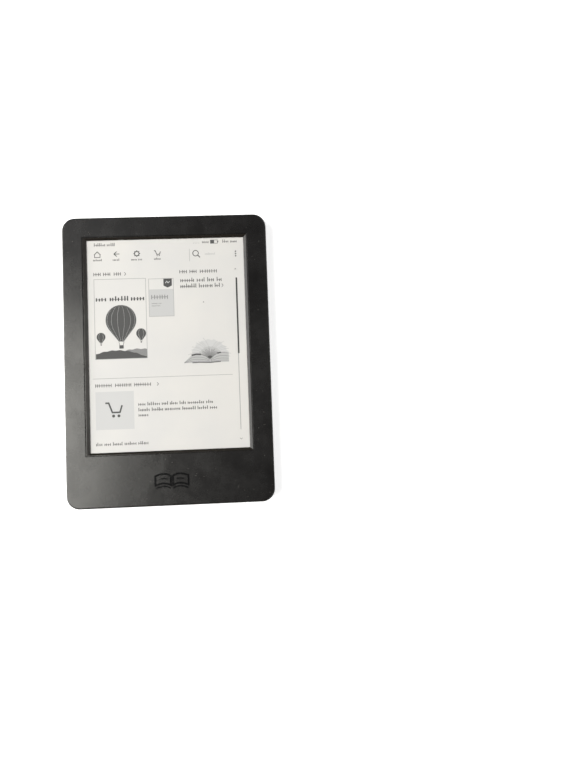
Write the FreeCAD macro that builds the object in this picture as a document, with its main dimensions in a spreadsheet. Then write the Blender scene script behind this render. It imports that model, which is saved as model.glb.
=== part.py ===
import FreeCAD, Part
import math
import os
from types import SimpleNamespace

import Sketcher

# A six-inch e-reader lying on its back. Millimetres. The origin is the centre of the back face,
# +X is to the right of the page, +Y towards its top edge, and +Z out of the screen.
# The case is a shallow bevelled tray closed by a front bezel. The paper-like panel, the infrared touch
# board and its light guide, the frame, the battery and the circuit board are stacked between them.

doc = FreeCAD.newDocument("e_reader")
V = FreeCAD.Vector
TINY = 1e-4

SIZES = [
    ("case_width", 119.0, "overall width, X"),
    ("case_length", 169.0, "overall length, Y"),
    ("case_height", 10.2, "overall thickness, Z"),
    ("corner_radius", 7.5, "corners of the case seen from the front"),
    ("wall", 1.6, "walls and floor of the case"),
    ("parting_height", 7.0, "where the bezel meets the rear cover"),
    ("seam_gap", 0.15, "open line between bezel and rear cover"),
    ("bevel_height", 3.6, "height of the slanted rim of the rear cover"),
    ("bevel_inset", 6.0, "how far that slant runs in under the case"),
    ("front_round", 0.9, "rounded front edge of the bezel"),
    ("front_plate", 1.3, "thickness of the bezel's front"),
    ("lip_thick", 0.85, "tongue under the bezel, inside the rear cover"),
    ("lip_drop", 1.2, "how far the tongue reaches down"),
    ("lip_gap", 0.15, "play between tongue and rear cover"),
    ("view_width", 91.8, "visible page, X"),
    ("view_length", 124.2, "visible page, Y"),
    ("view_centre", 9.15, "middle of the page above the middle of the case"),
    ("side_slope", 2.0, "slanted inner wall beside the page"),
    ("end_slope", 1.55, "slanted inner wall above and below the page"),
    ("screen_height", 8.2, "page surface above the back face"),
    ("panel_width", 101.8, "six-inch panel module, X"),
    ("panel_length", 138.4, "six-inch panel module, Y"),
    ("panel_margin", 2.65, "module beyond the page at the top"),
    ("glass_thick", 0.6, "backplane glass"),
    ("film_thick", 0.58, "ink film and its protective sheet"),
    ("ledge", 3.0, "bare glass below the film, for the flex"),
    ("tape_thick", 0.12, "adhesive under the panel"),
    ("frame_low", 5.7, "underside of the mid frame"),
    ("frame_thick", 1.2, "plate of the mid frame"),
    ("rim_thick", 0.5, "step round the panel pocket"),
    ("touch_ring", 3.8, "width of the touch board's ring"),
    ("touch_thick", 0.2, "touch board"),
    ("board_low", 4.7, "component side of the main board"),
    ("board_thick", 0.8, "main board"),
    ("board_width", 92.0, "main board, X"),
    ("board_bottom", -81.2, "lower edge of the main board, Y"),
    ("board_top", -37.2, "upper edge of the main board, Y"),
    ("flex_thick", 0.15, "flexible circuits"),
    ("battery_width", 53.0, "pouch cell, X"),
    ("battery_length", 60.0, "pouch cell, Y"),
    ("battery_thick", 2.6, "pouch cell, Z"),
    ("battery_centre", 10.0, "middle of the cell, Y"),
    ("port_height", 5.0, "ports above the back face"),
    ("port_x", -9.0, "charging socket, X"),
    ("lamp_x", 3.0, "status light, X"),
    ("button_x", 16.0, "power button, X"),
    ("button_width", 9.0, "power button cap, X"),
    ("button_tall", 2.4, "power button cap, Z"),
    ("screw_head", 1.4, "radius of a screw's head"),
    ("screw_shank", 0.75, "radius of a screw's thread"),
]


class Dim:
    """A size: its value in millimetres, and the formula over the sheet's cells that gives it."""

    def __init__(self, value, text):
        self.value = value
        self.text = text

    def __add__(self, other):
        other = dim(other)
        return Dim(self.value + other.value, f"({self.text} + {other.text})")

    def __sub__(self, other):
        other = dim(other)
        return Dim(self.value - other.value, f"({self.text} - {other.text})")

    def __mul__(self, factor):
        factor = dim(factor)
        return Dim(self.value * factor.value, f"({self.text} * {factor.text})")

    def __truediv__(self, factor):
        factor = dim(factor)
        return Dim(self.value / factor.value, f"({self.text} / {factor.text})")

    def __neg__(self):
        return Dim(-self.value, f"(0 - {self.text})")

    def __radd__(self, other):
        return dim(other) + self

    def __rsub__(self, other):
        return dim(other) - self

    __rmul__ = __mul__


def dim(size):
    """Any number or Dim as a Dim."""
    return size if isinstance(size, Dim) else Dim(float(size), repr(float(size)))


def make_sheet():
    """The driving dimensions as cells with aliases, and the same names as Dims for the script."""
    sheet = doc.addObject("Spreadsheet::Sheet", "sizes")
    for row, (name, value, note) in enumerate(SIZES, 1):
        sheet.set(f"A{row}", name)
        sheet.set(f"B{row}", str(value))
        sheet.set(f"C{row}", note)
        sheet.setAlias(f"B{row}", name)
    doc.recompute()
    return SimpleNamespace(**{name: Dim(value, f"sizes.{name}") for name, value, _ in SIZES})


S = make_sheet()

# Levels and outlines that several pieces share, worked out from the driving dimensions.
FRAME_TOP = S.frame_low + S.frame_thick
GLASS_LOW = S.screen_height - S.film_thick - S.glass_thick
FILM_LOW = S.screen_height - S.film_thick
RIM_TOP = FRAME_TOP + S.rim_thick
TOUCH_TOP = RIM_TOP + S.touch_thick
BOARD_TOP = S.board_low + S.board_thick
GASKET_THICK = 0.2
GUIDE_LOW = S.screen_height + GASKET_THICK
GUIDE_FLANGE = 0.4
GUIDE_TOP = S.case_height - 0.45
PLATE_LOW = S.case_height - S.front_plate
HALF_WIDTH = S.case_width / 2
HALF_LENGTH = S.case_length / 2
LIP_OUT = S.wall + S.lip_gap
LIP_IN = LIP_OUT + S.lip_thick
LIP_LOW = S.parting_height - S.lip_drop
PANEL_TOP = S.view_centre + S.view_length / 2 + S.panel_margin
PANEL_BOTTOM = PANEL_TOP - S.panel_length
PANEL_PLAY = 0.2
RING_PLAY = 0.6
RING_LOW = PANEL_BOTTOM - RING_PLAY - 0.3 - S.touch_ring
RING_HIGH = PANEL_TOP + RING_PLAY + S.touch_ring
RING_SIDE = S.panel_width / 2 + RING_PLAY + S.touch_ring
INNER_BOTTOM = HALF_LENGTH - S.wall

# Where the flexible circuits come down through the frame and the board.
FLEX_Y = RING_LOW - 0.9
DISPLAY_FLEX_X = (-44.0, -26.0)
TOUCH_FLEX_X = (31.0, 39.0)
SLOT_PLAY = 0.6

# Screws: through the frame into the bezel, through board and frame into the bezel, and into the frame.
FRAME_SCREWS = [(-40.0, 80.4), (0.0, 80.4), (40.0, 80.4), (-51.0, -76.5), (51.0, -76.5)]
THROUGH_SCREWS = [(-22.0, -76.5), (26.0, -76.5)]
BOARD_SCREWS = [(-42.0, -40.4), (42.0, -40.4)]

nodes = {}


def keep(thing, label):
    """Names a finished piece; its label is the name of its file."""
    thing.Label = label
    nodes[label] = thing
    return thing


def bind(thing, prop, size):
    """Drives a property from the sheet."""
    thing.setExpression(prop, dim(size).text)


# ---- sketches and PartDesign features ----


def new_body(name):
    return doc.addObject("PartDesign::Body", name + "_body")


def sketch_on(body, role, offset):
    """A sketch on one of the body's own origin planes, moved along the plane's normal."""
    sketch = body.newObject("Sketcher::SketchObject", "sketch")
    plane = [f for f in body.Origin.OriginFeatures if f.Role == role][0]
    sketch.AttachmentSupport = [(plane, "")]
    sketch.MapMode = "FlatFace"
    bind(sketch, "AttachmentOffset.Base.z", offset)
    return sketch


def flat(body, height):
    """A sketch parallel to the page, at that height."""
    return sketch_on(body, "XY_Plane", height)


def upright(body, y):
    """A sketch that faces the bottom edge of the case; its axes are X and Z."""
    return sketch_on(body, "XZ_Plane", -dim(y))


def hold(sketch, kind, where, size):
    """A dimension of a sketch, driven from the sheet."""
    size = dim(size)
    index = sketch.addConstraint(Sketcher.Constraint(kind, *where, size.value))
    sketch.setExpression(f"Constraints[{index}]", size.text)


def rectangle(sketch, left, right, low, high, radius=None):
    """A rectangle by its four sides, with round corners if a radius is given."""
    left, right, low, high = dim(left), dim(right), dim(low), dim(high)
    r = radius.value if isinstance(radius, Dim) else (radius or 0.0)
    a, b, c, d = left.value, right.value, low.value, high.value
    first = sketch.GeometryCount
    sides = [
        (V(a + r, c, 0), V(b - r, c, 0)),
        (V(b, c + r, 0), V(b, d - r, 0)),
        (V(b - r, d, 0), V(a + r, d, 0)),
        (V(a, d - r, 0), V(a, c + r, 0)),
    ]
    sketch.addGeometry([Part.LineSegment(p, q) for p, q in sides], False)
    bottom, east, top, west = range(first, first + 4)
    rules = [
        Sketcher.Constraint("Horizontal", bottom),
        Sketcher.Constraint("Vertical", east),
        Sketcher.Constraint("Horizontal", top),
        Sketcher.Constraint("Vertical", west),
    ]
    if radius is None:
        chain, join = [bottom, east, top, west], "Coincident"
    else:
        centres = [(b - r, c + r), (b - r, d - r), (a + r, d - r), (a + r, c + r)]
        turns = [-math.pi / 2, 0.0, math.pi / 2, math.pi]
        arcs = [
            Part.ArcOfCircle(Part.Circle(V(x, y, 0), V(0, 0, 1), r), t, t + math.pi / 2)
            for (x, y), t in zip(centres, turns)
        ]
        sketch.addGeometry(arcs, False)
        arc = list(range(first + 4, first + 8))
        chain, join = [bottom, arc[0], east, arc[1], top, arc[2], west, arc[3]], "Tangent"
        rules += [Sketcher.Constraint("Equal", arc[i], arc[i + 1]) for i in range(3)]
    rules += [Sketcher.Constraint(join, p, 2, q, 1) for p, q in zip(chain, chain[1:] + chain[:1])]
    sketch.addConstraint(rules)
    hold(sketch, "DistanceX", (-1, 1, west, 1), left)
    hold(sketch, "DistanceX", (-1, 1, east, 1), right)
    hold(sketch, "DistanceY", (-1, 1, bottom, 1), low)
    hold(sketch, "DistanceY", (-1, 1, top, 1), high)
    if radius is not None:
        hold(sketch, "Radius", (arc[0],), radius)


def circle(sketch, x, y, radius):
    x, y, radius = dim(x), dim(y), dim(radius)
    index = sketch.addGeometry(Part.Circle(V(x.value, y.value, 0), V(0, 0, 1), radius.value), False)
    hold(sketch, "DistanceX", (-1, 1, index, 3), x)
    hold(sketch, "DistanceY", (-1, 1, index, 3), y)
    hold(sketch, "Radius", (index,), radius)


def polygon(sketch, points):
    """A closed outline through points given as pairs of sizes."""
    points = [(dim(x), dim(y)) for x, y in points]
    at = [V(x.value, y.value, 0) for x, y in points]
    first = sketch.GeometryCount
    sketch.addGeometry([Part.LineSegment(p, q) for p, q in zip(at, at[1:] + at[:1])], False)
    count = len(points)
    for i, (x, y) in enumerate(points):
        before = first + (i - 1) % count
        sketch.addConstraint(Sketcher.Constraint("Coincident", before, 2, first + i, 1))
        hold(sketch, "DistanceX", (-1, 1, first + i, 1), x)
        hold(sketch, "DistanceY", (-1, 1, first + i, 1), y)


def case_outline(sketch, inset):
    """The outline of the case seen from the front, moved in by inset."""
    half_w, half_l = HALF_WIDTH - inset, HALF_LENGTH - inset
    rectangle(sketch, -half_w, half_w, -half_l, half_l, S.corner_radius - inset)


def page_rectangle(sketch, side, end):
    """The visible page, made larger by side to the left and right and by end above and below."""
    half_w, half_l = S.view_width / 2 + side, S.view_length / 2 + end
    rectangle(sketch, -half_w, half_w, S.view_centre - half_l, S.view_centre + half_l)


def pad(body, sketch, length, back=False):
    """Adds material along the sketch's normal, or against it."""
    feature = body.newObject("PartDesign::Pad", "pad")
    feature.Profile = sketch
    bind(feature, "Length", length)
    feature.Reversed = back
    doc.recompute()
    return feature


def pocket(body, sketch, length, onward=False):
    """Cuts against the sketch's normal, or along it. It stops the script if nothing was cut."""
    before = body.Tip.Shape.Volume
    feature = body.newObject("PartDesign::Pocket", "pocket")
    feature.Profile = sketch
    bind(feature, "Length", length)
    feature.Reversed = onward
    doc.recompute()
    if feature.Shape.Volume > before - TINY:
        raise ValueError(f"{body.Name}: {feature.Name} cuts nothing")
    return feature


def edges_at(feature, height, outer=None):
    """Names of the edges that lie flat at that height, or only those outside or inside a box."""
    z = dim(height).value
    names = []
    for i, edge in enumerate(feature.Shape.Edges, 1):
        box = edge.BoundBox
        level = abs(box.ZMin - z) < TINY and abs(box.ZMax - z) < TINY
        if level and (outer is None or outer(box)):
            names.append(f"Edge{i}")
    return names


def fillet(body, feature, edges, radius):
    rounded = body.newObject("PartDesign::Fillet", "fillet")
    rounded.Base = (feature, edges)
    bind(rounded, "Radius", radius)
    doc.recompute()
    return rounded


# ---- Part primitives ----


def box(name, left, right, low, high, bottom, top):
    """A plain block by its six sides."""
    made = doc.addObject("Part::Box", name)
    bind(made, "Length", dim(right) - left)
    bind(made, "Width", dim(high) - low)
    bind(made, "Height", dim(top) - bottom)
    for axis, size in (("x", left), ("y", low), ("z", bottom)):
        bind(made, f"Placement.Base.{axis}", size)
    return made


def chip(name, x, y, width, length, thick):
    """A block of that footprint hanging from the component side of the main board."""
    return box(
        name, dim(x) - width / 2, dim(x) + width / 2, dim(y) - length / 2, dim(y) + length / 2,
        S.board_low - thick, S.board_low,
    )


TURNS = {"x": (V(0, 1, 0), 90), "y": (V(1, 0, 0), -90), "z": (V(0, 0, 1), 0)}


def rod(name, along, x, y, z, radius, length):
    """A cylinder that starts at a point and runs along +X, +Y or +Z."""
    made = doc.addObject("Part::Cylinder", name)
    made.Placement = FreeCAD.Placement(V(0, 0, 0), FreeCAD.Rotation(*TURNS[along]))
    bind(made, "Radius", radius)
    bind(made, "Height", length)
    for axis, size in (("x", x), ("y", y), ("z", z)):
        bind(made, f"Placement.Base.{axis}", size)
    return made


def fuse(name, pieces):
    made = doc.addObject("Part::MultiFuse", name)
    made.Shapes = pieces
    made.Refine = True
    return made


def cut(name, base, tool):
    made = doc.addObject("Part::Cut", name)
    made.Base = base
    made.Tool = tool
    return made


def group(name, pieces):
    """Identical separate pieces that share one node."""
    made = doc.addObject("Part::Compound", name)
    made.Links = pieces
    return made


# ---- the case ----

SNAP_SPOTS_SIDE = [-60.0, -20.0, 20.0, 60.0]
SNAP_SPOTS_END = [-36.0, 36.0]
SNAP_LONG = 8.0
SNAP_HEIGHT = 0.5
SNAP_REACH = 0.35


def snap_rectangles(sketch, inner, outer, play):
    """One small rectangle at each snap, between two distances from the outline of the case."""
    half = SNAP_LONG / 2 + play
    for side in (-1, 1):
        near, far = (HALF_WIDTH - inner) * side, (HALF_WIDTH - outer) * side
        left, right = (near, far) if near.value < far.value else (far, near)
        for y in SNAP_SPOTS_SIDE:
            rectangle(sketch, left, right, dim(y) - half, dim(y) + half)
        near, far = (HALF_LENGTH - inner) * side, (HALF_LENGTH - outer) * side
        low, high = (near, far) if near.value < far.value else (far, near)
        for x in SNAP_SPOTS_END:
            rectangle(sketch, dim(x) - half, dim(x) + half, low, high)


def rear_cover():
    """A tray with a slanted rim, snap grooves, port openings and a lattice of ribs."""
    body = new_body("rear_cover")
    outline = flat(body, 0.0)
    case_outline(outline, dim(0.0))
    block = pad(body, outline, S.parting_height - S.seam_gap)
    bevel = body.newObject("PartDesign::Chamfer", "bevel")
    bevel.Base = (block, edges_at(block, 0.0))
    bevel.ChamferType = "Two distances"
    bind(bevel, "Size", S.bevel_height)
    bind(bevel, "Size2", S.bevel_inset)
    doc.recompute()
    top = (S.parting_height - S.seam_gap).value
    faces = enumerate(bevel.Shape.Faces, 1)
    open_face = [f"Face{i}" for i, face in faces if abs(face.BoundBox.ZMin - top) < TINY]
    tray = body.newObject("PartDesign::Thickness", "tray")
    tray.Base = (bevel, open_face)
    bind(tray, "Value", S.wall)
    tray.Reversed = True
    tray.Join = "Intersection"
    doc.recompute()
    wide = (HALF_WIDTH - TINY).value
    rim = fillet(body, tray, edges_at(tray, S.bevel_height, lambda b: max(b.XMax, -b.XMin) > 50), 2.0)
    fillet(body, rim, edges_at(rim, 0.0), 1.5)
    if rim.Shape.BoundBox.XMax < wide:
        raise ValueError("the rear cover lost its width")
    grooves = flat(body, S.parting_height - S.seam_gap - 0.25)
    snap_rectangles(grooves, S.wall + 0.3, S.wall - 0.55, 0.3)
    pocket(body, grooves, SNAP_HEIGHT + 0.55)
    ports = upright(body, -(HALF_LENGTH + 1.0))
    usb_outline(ports, 0.2)
    pill(ports, S.button_x, S.button_width + 0.4, S.button_tall + 0.4)
    circle(ports, S.lamp_x, S.port_height, 0.65)
    pocket(body, ports, 5.5)
    return keep_ribs(body)


RIB_THICK = 0.8
RIB_TALL = 0.7
RIB_AREA = (-48.0, 48.0, 44.0, 76.0)
RIB_ROWS = 5
RIB_COLUMNS = 7


def keep_ribs(body):
    """The stiffening lattice above the battery, one rib repeated along each direction."""
    left, right, low, high = RIB_AREA
    for columns in (True, False):
        sketch = flat(body, S.wall)
        if columns:
            rectangle(sketch, left, left + RIB_THICK, low, high)
            span, count, axis = right - left - RIB_THICK, RIB_COLUMNS, "H_Axis"
        else:
            rectangle(sketch, left + RIB_THICK, right - RIB_THICK, low, low + RIB_THICK)
            span, count, axis = high - low - RIB_THICK, RIB_ROWS, "V_Axis"
        rib = pad(body, sketch, RIB_TALL)
        pattern = body.newObject("PartDesign::LinearPattern", "ribs")
        pattern.Originals = [rib]
        pattern.Direction = (sketch, [axis])
        pattern.Length = span
        pattern.Occurrences = count
        body.Tip = pattern
        doc.recompute()
    return keep(body, "rear_cover")


def pill(sketch, x, width, height):
    """A slot with round ends, level with the ports."""
    half, r = dim(width) / 2, dim(height) / 2
    rectangle(sketch, x - half, x + half, S.port_height - r, S.port_height + r, r - 0.001)


def front_bezel():
    """The front frame: a plate with the page opening, a side wall, a tongue, snaps and screw bosses."""
    body = new_body("front_bezel")
    outline = flat(body, S.parting_height)
    case_outline(outline, dim(0.0))
    block = pad(body, outline, S.case_height - S.parting_height)
    fillet(body, block, edges_at(block, S.case_height), S.front_round)
    hollow = flat(body, S.parting_height)
    case_outline(hollow, LIP_IN)
    pocket(body, hollow, PLATE_LOW - S.parting_height, onward=True)
    opening = flat(body, S.case_height)
    page_rectangle(opening, S.side_slope, S.end_slope)
    through = pocket(body, opening, S.front_plate + 0.5)
    half = (S.view_width / 2 + S.side_slope + 0.1).value
    inside = edges_at(through, S.case_height, lambda b: max(b.XMax, -b.XMin) < half)
    easing = body.newObject("PartDesign::Chamfer", "easing")
    easing.Base = (through, inside)
    bind(easing, "Size", 0.3)
    doc.recompute()
    tongue = flat(body, LIP_LOW)
    case_outline(tongue, LIP_OUT)
    case_outline(tongue, LIP_IN)
    pad(body, tongue, S.lip_drop)
    snaps = flat(body, LIP_LOW + 0.1)
    snap_rectangles(snaps, LIP_OUT + 0.1, LIP_OUT - 0.15 - SNAP_REACH, 0.0)
    pad(body, snaps, SNAP_HEIGHT)
    bosses = flat(body, FRAME_TOP + 0.05)
    for x, y in FRAME_SCREWS + THROUGH_SCREWS:
        circle(bosses, x, y, 1.8)
    pad(body, bosses, PLATE_LOW - FRAME_TOP)
    holes = flat(body, FRAME_TOP)
    for x, y in FRAME_SCREWS + THROUGH_SCREWS:
        circle(holes, x, y, S.screw_shank + 0.05)
    pocket(body, holes, PLATE_LOW - FRAME_TOP, onward=True)
    notches = upright(body, -(HALF_LENGTH - S.wall))
    rectangle(notches, S.port_x - 4.3, S.port_x + 4.3, LIP_LOW - 0.1, S.port_height + 1.5)
    rectangle(notches, S.button_x - 6.6, S.button_x + 6.6, LIP_LOW - 0.1, S.port_height + 1.65)
    pocket(body, notches, 1.2)
    return keep(body, "front_bezel")


# ---- page, light guide and touch board ----


def light_guide():
    """The infrared window: a flange under the bezel and a slanted glossy wall round the page."""
    body = new_body("light_guide")
    flange = flat(body, GUIDE_LOW)
    side = RING_SIDE - 0.1
    rectangle(flange, -side, side, RING_LOW + 0.1, RING_HIGH - 0.1)
    pad(body, flange, GUIDE_FLANGE)
    wall = flat(body, GUIDE_LOW)
    page_rectangle(wall, S.side_slope - 0.1, S.end_slope - 0.1)
    pad(body, wall, GUIDE_TOP - GUIDE_LOW)
    foot = flat(body, GUIDE_LOW)
    page_rectangle(foot, 0.0, 0.0)
    pocket(body, foot, 0.25, onward=True)
    low = flat(body, GUIDE_LOW + 0.2)
    page_rectangle(low, 0.0, 0.0)
    high = flat(body, GUIDE_TOP)
    page_rectangle(high, S.side_slope - 0.4, S.end_slope - 0.4)
    slope = body.newObject("PartDesign::SubtractiveLoft", "slope")
    slope.Profile = low
    slope.Sections = [high]
    slope.Ruled = True
    doc.recompute()
    return keep(body, "light_guide")


def panel():
    """The page: glass backplane, ink film, driver chip, dust gasket and mounting tape."""
    half = S.panel_width / 2
    keep(box("glass", -half, half, PANEL_BOTTOM, PANEL_TOP, GLASS_LOW, FILM_LOW), "panel_backplane")
    film = (half - 1.0, PANEL_BOTTOM + S.ledge, PANEL_TOP - 1.0)
    keep(box("film", -film[0], film[0], film[1], film[2], FILM_LOW, S.screen_height), "panel_ink_film")
    ledge_y = PANEL_BOTTOM + 0.5
    chip_box = box("driver", -10.0, 10.0, ledge_y, ledge_y + 1.8, FILM_LOW, FILM_LOW + 0.35)
    keep(chip_box, "panel_driver_chip")
    gasket = new_body("gasket")
    ring = flat(gasket, S.screen_height)
    rectangle(ring, -49.5, 49.5, PANEL_BOTTOM + S.ledge + 1.0, PANEL_TOP - 1.4)
    page_rectangle(ring, 0.4, 0.4)
    pad(gasket, ring, GASKET_THICK)
    keep(gasket, "panel_gasket")
    tape = new_body("tape")
    ring = flat(tape, FRAME_TOP)
    rectangle(ring, -50.0, 50.0, PANEL_BOTTOM + 1.0, PANEL_TOP - 1.0)
    rectangle(ring, -43.0, 43.0, PANEL_BOTTOM + 8.0, PANEL_TOP - 8.0)
    pad(tape, ring, S.tape_thick)
    keep(tape, "panel_tape")


LED_COLUMNS = 11
LED_ROWS = 13
LED_LONG = 1.6
LED_DEEP = 1.0
LED_TALL = 0.7


def touch_parts():
    """The ring-shaped touch board, with emitters on two sides and receivers on the other two."""
    body = new_body("touch_board")
    ring = flat(body, RIM_TOP)
    rectangle(ring, -RING_SIDE, RING_SIDE, RING_LOW, RING_HIGH, 2.0)
    inner = RING_SIDE - S.touch_ring
    rectangle(ring, -inner, inner, RING_LOW + S.touch_ring, RING_HIGH - S.touch_ring)
    pad(body, ring, S.touch_thick)
    keep(body, "touch_board")
    middle = S.touch_ring - 1.2
    step_x = (inner * 2 - 8.0) / (LED_COLUMNS - 1)
    tall = RING_HIGH - RING_LOW - S.touch_ring * 2 - 8.0
    step_y = tall / (LED_ROWS - 1)

    def row(name, y):
        left = -(inner - 4.0)
        return [led(name, left + step_x * i, y, LED_LONG, LED_DEEP) for i in range(LED_COLUMNS)]

    def column(name, x):
        low = RING_LOW + S.touch_ring + 4.0
        return [led(name, x, low + step_y * i, LED_DEEP, LED_LONG) for i in range(LED_ROWS)]

    def led(name, x, y, width, length):
        x, y = dim(x), dim(y)
        sides = (x - width / 2, x + width / 2, y - length / 2, y + length / 2)
        return box(name, *sides, TOUCH_TOP, TOUCH_TOP + LED_TALL)

    emitters = row("emitter", RING_LOW + middle) + column("emitter", RING_SIDE - middle)
    receivers = row("receiver", RING_HIGH - middle) + column("receiver", middle - RING_SIDE)
    keep(group("emitters", emitters), "touch_emitters")
    keep(group("receivers", receivers), "touch_receivers")


# ---- frame and screws ----

CRADLE_TALL = 1.0
WINDOW_X = [-34.0, 0.0, 34.0]
WINDOW_WIDTH = 26.0
WINDOW_LOW = 47.0
WINDOW_HIGH = 71.0


def mid_frame():
    """The plate that carries the panel on its front and the battery and main board on its back."""
    body = new_body("mid_frame")
    plate = flat(body, S.frame_low)
    case_outline(plate, LIP_IN + 0.4)
    pad(body, plate, S.frame_thick)
    rim = flat(body, FRAME_TOP)
    side = RING_SIDE + 0.2
    rectangle(rim, -side, side, RING_LOW - 0.2, RING_HIGH + 0.2)
    pocket_side = S.panel_width / 2 + PANEL_PLAY
    rectangle(rim, -pocket_side, pocket_side, PANEL_BOTTOM - PANEL_PLAY, PANEL_TOP + PANEL_PLAY)
    pad(body, rim, S.rim_thick)
    channel = flat(body, RIM_TOP)
    left, right = DISPLAY_FLEX_X
    rectangle(channel, left - SLOT_PLAY, right + SLOT_PLAY, RING_LOW - 1.0, PANEL_BOTTOM - 0.1)
    pocket(body, channel, S.rim_thick)
    openings = flat(body, FRAME_TOP)
    for left, right in (DISPLAY_FLEX_X, TOUCH_FLEX_X):
        low, high = FLEX_Y - SLOT_PLAY, FLEX_Y + SLOT_PLAY
        rectangle(openings, left - SLOT_PLAY, right + SLOT_PLAY, low, high, 0.3)
    for x in WINDOW_X:
        half = WINDOW_WIDTH / 2
        rectangle(openings, x - half, x + half, WINDOW_LOW, WINDOW_HIGH, 3.0)
    for x, y in FRAME_SCREWS + THROUGH_SCREWS:
        circle(openings, x, y, S.screw_shank + 0.15)
    for x, y in BOARD_SCREWS:
        circle(openings, x, y, S.screw_shank + 0.05)
    pocket(body, openings, S.frame_thick)
    notch = flat(body, FRAME_TOP)
    rectangle(notch, S.port_x - 4.1, S.port_x + 4.1, -HALF_LENGTH, -77.9)
    pocket(body, notch, S.frame_thick)
    cradle = flat(body, S.frame_low)
    for grow in (0.4, 1.4):
        half = S.battery_width / 2 + grow
        low, high = battery_ends()
        rectangle(cradle, -half, half, low - 3.6 - grow, high + grow)
    pad(body, cradle, CRADLE_TALL, back=True)
    bosses = flat(body, S.frame_low)
    for x, y in THROUGH_SCREWS + BOARD_SCREWS:
        circle(bosses, x, y, 1.9)
        circle(bosses, x, y, S.screw_shank + 0.15)
    pad(body, bosses, S.frame_low - BOARD_TOP, back=True)
    return keep(body, "mid_frame")


HEAD_TALL = 0.7


def screw(x, y, seat, tip):
    """A pan-head screw, driven upwards: its head is under seat and its thread ends at tip."""
    head = rod("head", "z", x, y, dim(seat) - HEAD_TALL, S.screw_head, HEAD_TALL)
    shank = rod("shank", "z", x, y, seat, S.screw_shank, dim(tip) - seat)
    low = dim(seat) - HEAD_TALL - 0.1
    arms = []
    for wide, long in ((0.8, 0.18), (0.18, 0.8)):
        arms.append(box("arm", x - wide, x + wide, y - long, y + long, low, low + 0.45))
    return cut("screw", fuse("blank", [head, shank]), fuse("cross", arms))


def screws():
    deep = PLATE_LOW - 0.35
    frame = [screw(x, y, S.frame_low, deep) for x, y in FRAME_SCREWS]
    keep(group("frame_screw_set", frame), "frame_screws")
    board = [screw(x, y, S.board_low, deep) for x, y in THROUGH_SCREWS]
    board += [screw(x, y, S.board_low, FRAME_TOP - 0.1) for x, y in BOARD_SCREWS]
    keep(group("board_screw_set", board), "board_screws")


# ---- battery ----


def battery_ends():
    """Lower and upper end of the cell."""
    half = S.battery_length / 2
    return S.battery_centre - half, S.battery_centre + half


WIRE_RADIUS = 0.4
WIRE_PITCH = 1.0
WIRE_COUNT = 3
WIRE_LEVEL = 4.1
PLUG_X = -32.5
PLUG_TOP = -37.4
PLUG_LONG = 4.4
GUARD_WIRE_X = -15.0


def rounded_wire(points, radii):
    """Straight runs through points, joined by tangent arcs of the given radii."""
    edges, start = [], points[0]
    for i, radius in enumerate(radii, 1):
        corner = points[i]
        back = (points[i - 1] - corner).normalize()
        onward = (points[i + 1] - corner).normalize()
        half_turn = (math.pi - back.getAngle(onward)) / 2
        reach = radius * math.tan(half_turn)
        first, last = corner + back * reach, corner + onward * reach
        bisector = (back + onward).normalize()
        centre = corner + bisector * (radius / math.cos(half_turn))
        edges.append(Part.LineSegment(start, first).toShape())
        edges.append(Part.Arc(first, centre - bisector * radius, last).toShape())
        start = last
    edges.append(Part.LineSegment(start, points[-1]).toShape())
    return Part.Wire(edges)


def battery_wire(number):
    """One of the three short leads from the guard board to the plug, and its bend radii."""
    shift = number * WIRE_PITCH
    ends = battery_ends()
    low, high = PLUG_TOP, ends[0].value - 3.2
    start = PLUG_X + shift - WIRE_PITCH
    end = GUARD_WIRE_X + shift - WIRE_PITCH
    drop = 0.95 * shift
    points = [
        V(start, low, WIRE_LEVEL),
        V(start, low + 6.0 - drop, WIRE_LEVEL),
        V(end, high - 4.0 - drop, WIRE_LEVEL),
        V(end, high, WIRE_LEVEL),
    ]
    radii = []
    for i in (1, 2):
        back, onward = points[i - 1] - points[i], points[i + 1] - points[i]
        half_turn = (math.pi - back.getAngle(onward)) / 2
        radii.append(0.45 * min(back.Length, onward.Length) / math.tan(half_turn))
    path = rounded_wire(points, radii)
    ring = Part.Wire(Part.makeCircle(WIRE_RADIUS, points[0], V(0, 1, 0)))
    lead = path.makePipeShell([ring], True, False)
    expected = math.pi * WIRE_RADIUS**2 * path.Length
    if abs(lead.Volume / expected - 1) > 0.01:
        raise ValueError("a battery lead has the wrong volume")
    print("battery lead", number, "length", round(path.Length, 1), "radii", [round(r, 2) for r in radii])
    return lead


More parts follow.
